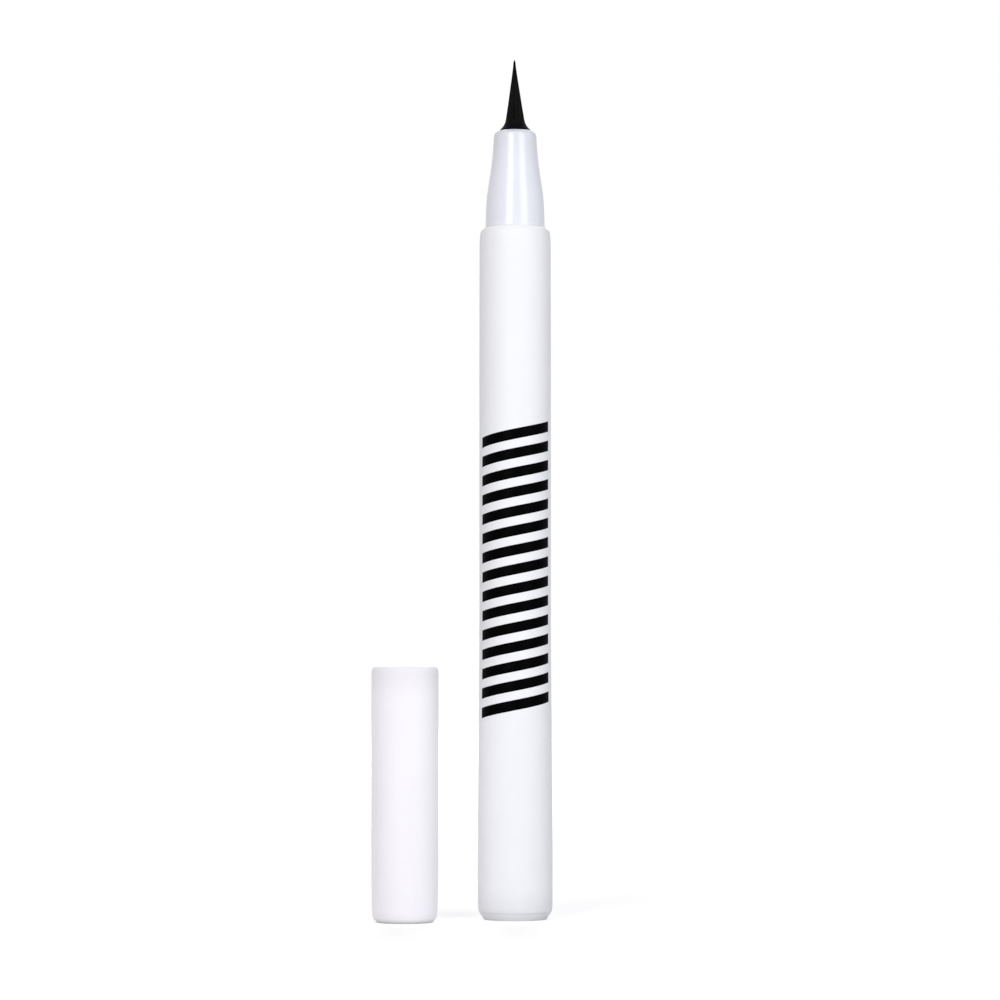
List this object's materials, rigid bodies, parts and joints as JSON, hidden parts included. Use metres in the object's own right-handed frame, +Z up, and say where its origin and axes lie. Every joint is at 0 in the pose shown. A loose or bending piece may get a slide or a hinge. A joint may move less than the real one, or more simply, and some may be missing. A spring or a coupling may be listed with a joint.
{
  "type": "liquid eyeliner pen",
  "caption": "Slim round eyeliner pen with a fine tapered brush, standing on its foot, and its loose cap beside it.",
  "frame": {"origin": "centre of the pen's foot, on the surface it stands on", "axes": "+Z up along the pen towards the brush, -X towards the cap, -Y towards the viewer"},
  "size_m": [0.026, 0.0168, 0.1249],
  "materials": {
    "barrel_white": "satin moulded",
    "cap_white": "satin moulded",
    "nose_gloss": "polished",
    "collar_black": "wet with ink",
    "brush_fibre": "wet filament",
    "print_ink": "printed ink",
    "inner_plastic": "natural moulded",
    "inner_cap_plastic": "natural moulded",
    "feed_fibre": "bonded fibre",
    "seal_rubber": "moulded",
    "ball_steel": "polished",
    "spring_steel": "drawn wire"
  },
  "bodies": {
    "pen": {"barrel": "barrel_white", "tail_plug": "barrel_white", "tail_seal_ring": "seal_rubber", "tank_plug": "inner_plastic", "collector": "inner_plastic", "feed_rod": "feed_fibre", "nose_cone": "nose_gloss", "brush_seat": "inner_plastic", "brush_root": "brush_fibre", "brush_collar": "collar_black", "bristles": "brush_fibre"},
    "stir_ball": {"mixing_ball": "ball_steel"},
    "cap": {"cap_shell": "cap_white", "cap_retainer": "inner_plastic", "cap_spring": "spring_steel"},
    "seal_cup": {"inner_cap": "inner_cap_plastic"}
  },
  "joints": [
    {"name": "ball_travel", "type": "slide", "parent": "pen", "child": "stir_ball", "axis": [0, 0, 1], "range_m": [0, 0.0596]},
    {"name": "cap_lift", "type": "slide", "parent": "pen", "child": "cap", "axis": [0, 0, 1], "range_m": [0, 0.13]},
    {"name": "inner_cap_press", "type": "slide", "parent": "cap", "child": "seal_cup", "axis": [0, 0, -1], "range_m": [0, 0.0014], "stiffness_N_per_m": 80, "springref_m": -0.002, "deforming": ["cap_spring"]}
  ]
}
